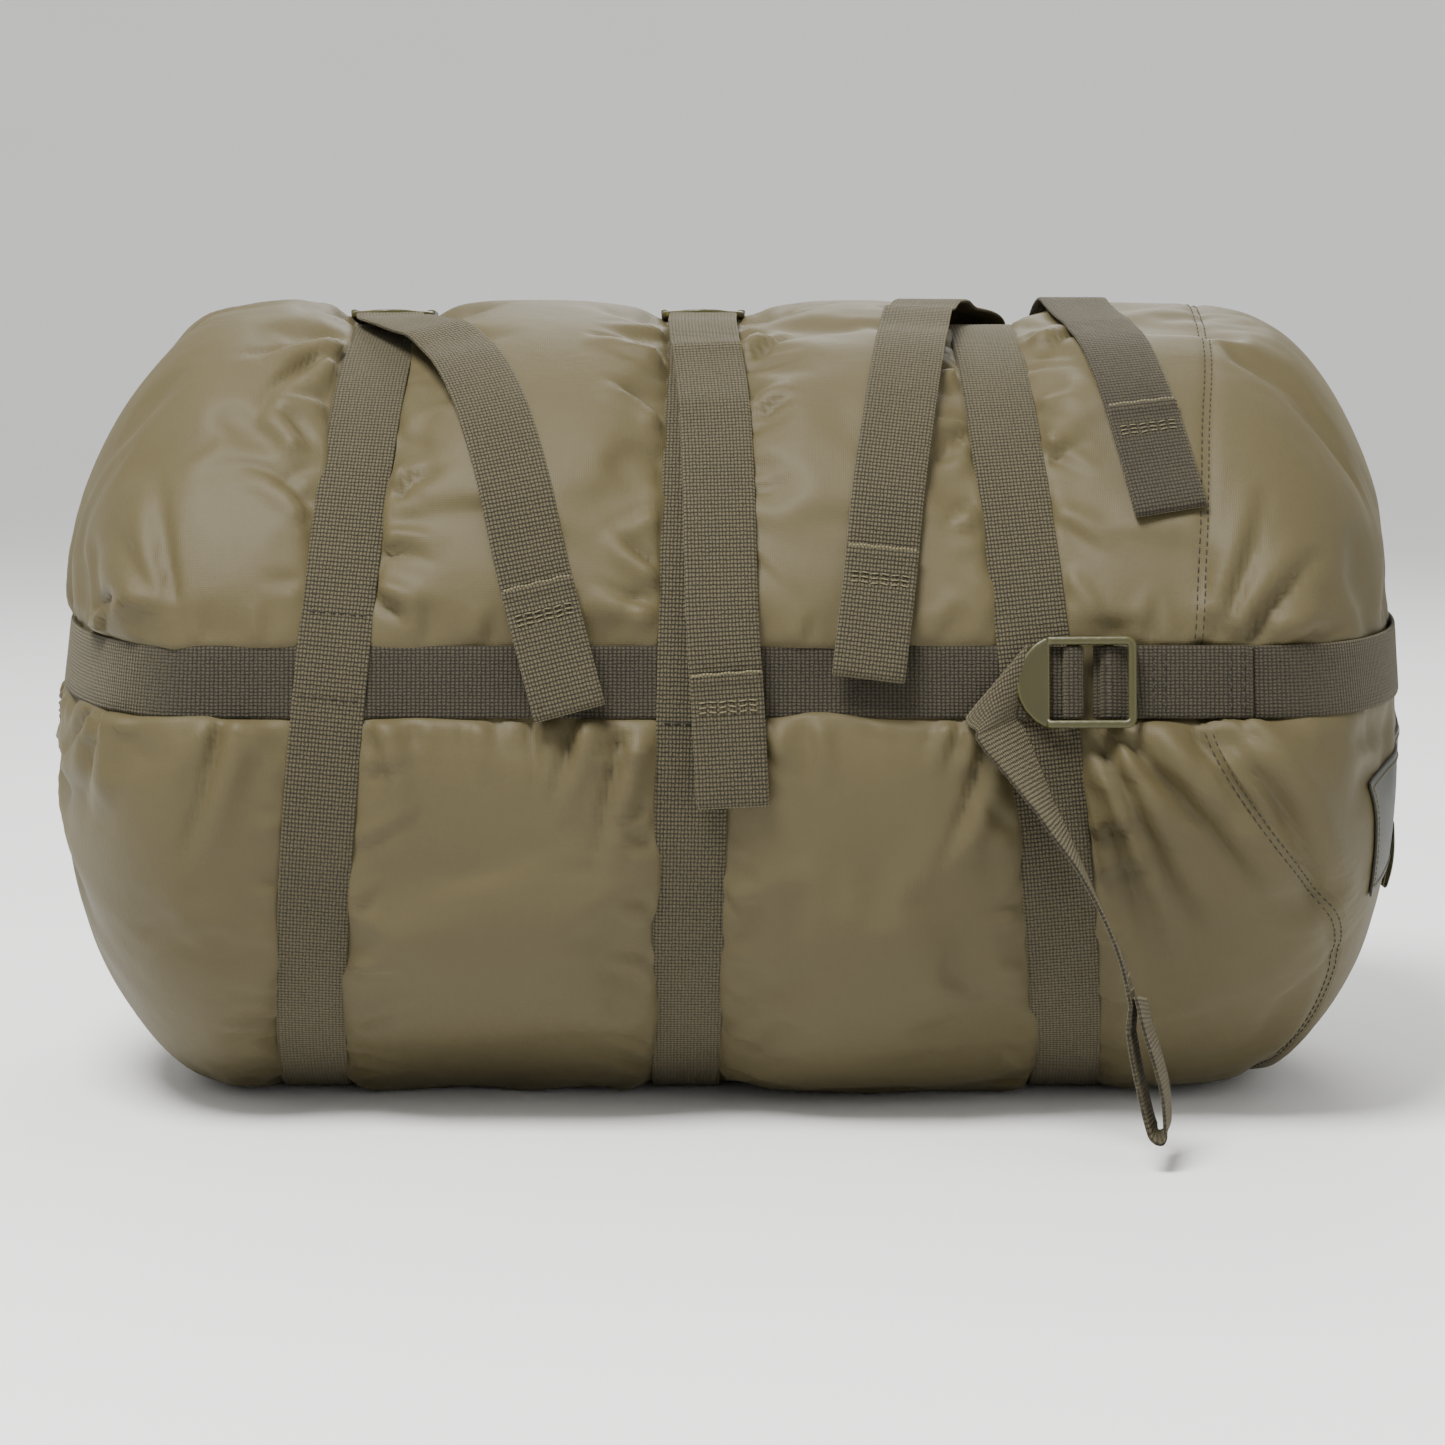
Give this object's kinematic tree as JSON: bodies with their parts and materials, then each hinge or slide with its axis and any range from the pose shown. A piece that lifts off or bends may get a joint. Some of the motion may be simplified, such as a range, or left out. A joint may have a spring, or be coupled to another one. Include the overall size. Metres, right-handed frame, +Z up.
{
  "type": "compression stuff sack",
  "caption": "Packed compression stuff sack lying on its side, with webbing straps round it and along it, ladder-lock buckles and free strap tails that end in pull loops.",
  "frame": {"origin": "on the floor, under the middle of the sack", "axes": "+X along the sack towards its sewn end panel, the front faces -Y, +Z up"},
  "size_m": [0.4986, 0.3327, 0.2863],
  "materials": {
    "shell_fabric": "smooth olive nylon with a soft sheen",
    "webbing": "ribbed olive-brown nylon webbing",
    "buckle_plastic": "satin moulded olive plastic",
    "brass": "dull brass",
    "label": "woven dark olive patch with a stitched border and no lettering",
    "tag": "folded satin tape",
    "filling": "packed quilted lining"
  },
  "bodies": {
    "root": {"sack_tube": "shell_fabric", "end_cap": "shell_fabric", "packed_filling": "filling", "mouth_hem": "shell_fabric", "cord_eyelet": "brass", "length_belt": "webbing", "end_belt": "webbing", "left_girth_strap": "webbing", "middle_girth_strap": "webbing", "right_girth_strap": "webbing", "label_patch": "label", "care_tag": "tag"},
    "left_lock": {"left_ladder_lock": "buckle_plastic", "left_strap_bend": "webbing"},
    "left_tail": {"left_strap_tail": "webbing"},
    "middle_lock": {"middle_ladder_lock": "buckle_plastic", "middle_strap_bend": "webbing"},
    "middle_tail": {"middle_strap_tail": "webbing"},
    "right_lock": {"right_ladder_lock": "buckle_plastic", "right_strap_bend": "webbing"},
    "right_tail": {"right_strap_tail": "webbing"},
    "front_lock": {"front_ladder_lock": "buckle_plastic", "front_belt_bend": "webbing"},
    "front_tail": {"front_belt_tail": "webbing"},
    "rear_lock": {"rear_ladder_lock": "buckle_plastic", "rear_belt_bend": "webbing"},
    "rear_tail": {"rear_belt_tail": "webbing"}
  },
  "joints": [
    {"name": "left_lock_tilt", "type": "hinge", "parent": "root", "child": "left_lock", "pos_m": [-0.1244, 0.02992, 0.27827], "axis": [-0.9998, -0.0188, 0.004], "range_deg": [0, 18]},
    {"name": "left_tail_lift", "type": "hinge", "parent": "left_lock", "child": "left_tail", "pos_m": [-0.12376, -0.00293, 0.28308], "axis": [-0.9998, -0.0188, 0.004], "range_deg": [0, 90]},
    {"name": "middle_lock_tilt", "type": "hinge", "parent": "root", "child": "middle_lock", "pos_m": [-0.0083, 0.02992, 0.27827], "axis": [-1, -0.0051, 0.0011], "range_deg": [0, 18]},
    {"name": "middle_tail_lift", "type": "hinge", "parent": "middle_lock", "child": "middle_tail", "pos_m": [-0.00813, -0.00294, 0.28308], "axis": [-1, -0.0051, 0.0011], "range_deg": [0, 90]},
    {"name": "right_lock_tilt", "type": "hinge", "parent": "root", "child": "right_lock", "pos_m": [0.0966, 0.07838, 0.2582], "axis": [-0.9987, 0.0424, -0.0276], "range_deg": [0, 18]},
    {"name": "right_tail_lift", "type": "hinge", "parent": "right_lock", "child": "right_tail", "pos_m": [0.09492, 0.04947, 0.27444], "axis": [-0.9987, 0.0424, -0.0276], "range_deg": [0, 90]},
    {"name": "front_lock_tilt", "type": "hinge", "parent": "root", "child": "front_lock", "pos_m": [0.131, -0.14182, 0.162], "axis": [0, 0.1702, 0.9854], "range_deg": [0, 18], "stiffness_Nm_per_rad": 0.01},
    {"name": "front_tail_lift", "type": "hinge", "parent": "root", "child": "front_tail", "pos_m": [0.086, -0.14485, 0.14763], "axis": [-1, 0, 0], "range_deg": [0, 60]},
    {"name": "rear_lock_tilt", "type": "hinge", "parent": "root", "child": "rear_lock", "pos_m": [0.131, 0.14182, 0.162], "axis": [0, 0.1702, -0.9854], "range_deg": [0, 18], "stiffness_Nm_per_rad": 0.01},
    {"name": "rear_tail_lift", "type": "hinge", "parent": "root", "child": "rear_tail", "pos_m": [0.086, 0.13978, 0.17679], "axis": [-1, 0, 0], "range_deg": [0, 60]}
  ]
}
